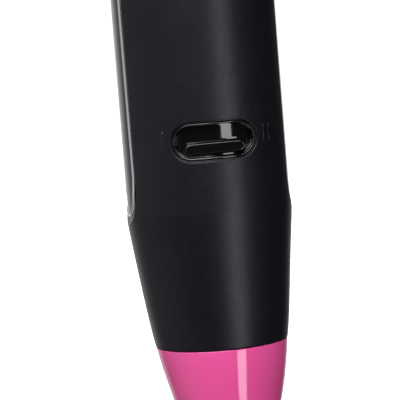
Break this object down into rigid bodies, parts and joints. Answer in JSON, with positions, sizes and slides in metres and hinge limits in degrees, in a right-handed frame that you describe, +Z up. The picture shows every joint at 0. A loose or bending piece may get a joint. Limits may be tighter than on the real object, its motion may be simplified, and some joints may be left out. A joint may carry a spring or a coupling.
{
  "type": "hair dryer",
  "caption": "Folding hair dryer: tapered grip with a recessed voltage selector, tapered tail with hanging ring, round barrel and flat turning air nozzle.",
  "frame": {"origin": "centre of the cord inlet's mouth, at the handle's lower tip", "axes": "+Z up, +X the way the air blows, +Y to the side away from the voltage selector; the handle leans back 4.6 degrees from +Z"},
  "size_m": [0.1794, 0.066, 0.2356],
  "materials": {
    "satin_black": "fine satin moulded",
    "gloss_black": "polished",
    "gloss_pink": "polished",
    "black_rubber": "matt",
    "inner_plastic": "moulded",
    "steel": "satin",
    "heating_wire": "oxidised",
    "mica": "layered",
    "circuit_board": "solder mask",
    "lead_insulation": "extruded",
    "ferrite": "ground",
    "bronze": "sintered",
    "fan_plastic": "moulded"
  },
  "bodies": {
    "handle": {"handle_shell_right": "satin_black", "handle_shell_left": "satin_black", "front_grip": "gloss_black", "switch_panel": "gloss_black", "power_switch": "inner_plastic", "cool_shot_switch": "inner_plastic", "control_board": "circuit_board", "voltage_bezel": "gloss_black", "voltage_switch": "inner_plastic", "tail_cap": "gloss_pink", "cord_gland": "black_rubber", "cord_clamp": "inner_plastic", "clamp_screws": "steel", "handle_screws": "steel", "hinge_knuckle": "inner_plastic", "detent_ball": "steel", "detent_spring": "steel", "power_leads": "lead_insulation"},
    "power_slide_knob": {"power_slider": "gloss_pink"},
    "cool_shot": {"cool_shot_button": "gloss_pink"},
    "selector": {"voltage_slider": "gloss_black"},
    "hanging_loop": {"hang_ring": "steel"},
    "head": {"barrel_shell_right": "satin_black", "barrel_shell_left": "satin_black", "neck_screws": "steel", "hinge_pin": "steel", "hinge_cap_right": "gloss_pink", "hinge_cap_left": "gloss_pink", "rear_trim_ring": "gloss_pink", "outlet_ring": "inner_plastic", "outlet_grille": "inner_plastic", "heat_sleeve": "mica", "heater_frame": "mica", "heater_coil_outer": "heating_wire", "heater_coil_inner": "heating_wire", "thermostat": "inner_plastic", "thermal_fuse": "steel", "fan_housing": "inner_plastic", "motor_can": "steel", "motor_magnets": "ferrite", "motor_bushes": "bronze", "motor_end_cap": "inner_plastic", "rectifier_board": "circuit_board"},
    "intake_cover": {"rear_grille": "gloss_black", "filter_mesh": "steel"},
    "fan": {"fan_impeller": "fan_plastic", "motor_shaft": "steel", "motor_armature": "steel"},
    "nozzle_mount": {"nozzle_collar": "gloss_pink"},
    "nozzle": {"concentrator_nozzle": "gloss_black"}
  },
  "joints": [
    {"name": "handle_fold", "type": "hinge", "parent": "handle", "child": "head", "pos_m": [-0.01091, 0, 0.13556], "axis": [0, 1, 0], "range_deg": [0, 85]},
    {"name": "power_slide", "type": "slide", "parent": "handle", "child": "power_slide_knob", "axis": [-0.0802, 0, 0.9968], "range_m": [0, 0.008]},
    {"name": "cool_shot_press", "type": "slide", "parent": "handle", "child": "cool_shot", "axis": [0.9968, 0, 0.0802], "range_m": [0, 0.0008], "stiffness_N_per_m": 600, "springref_m": -0.0005},
    {"name": "voltage_select", "type": "hinge", "parent": "handle", "child": "selector", "pos_m": [-0.00569, 0.00348, 0.07077], "axis": [-0.0802, 0, 0.9968], "range_deg": [-2.4, 2.4]},
    {"name": "ring_swing", "type": "hinge", "parent": "handle", "child": "hanging_loop", "pos_m": [-0.01125, 0, 0.00511], "axis": [0, 1, 0], "range_deg": [-10, 100]},
    {"name": "fan_spin", "type": "hinge", "parent": "head", "child": "fan", "pos_m": [-0.01091, 0, 0.18756], "axis": [1, 0, 0], "continuous": true},
    {"name": "intake_cover_pull", "type": "slide", "parent": "head", "child": "intake_cover", "axis": [-1, 0, 0], "range_m": [0, 0.012]},
    {"name": "nozzle_pull", "type": "slide", "parent": "head", "child": "nozzle_mount", "axis": [1, 0, 0], "range_m": [0, 0.016]},
    {"name": "nozzle_turn", "type": "hinge", "parent": "nozzle_mount", "child": "nozzle", "pos_m": [-0.01091, 0, 0.18756], "axis": [1, 0, 0], "continuous": true}
  ]
}
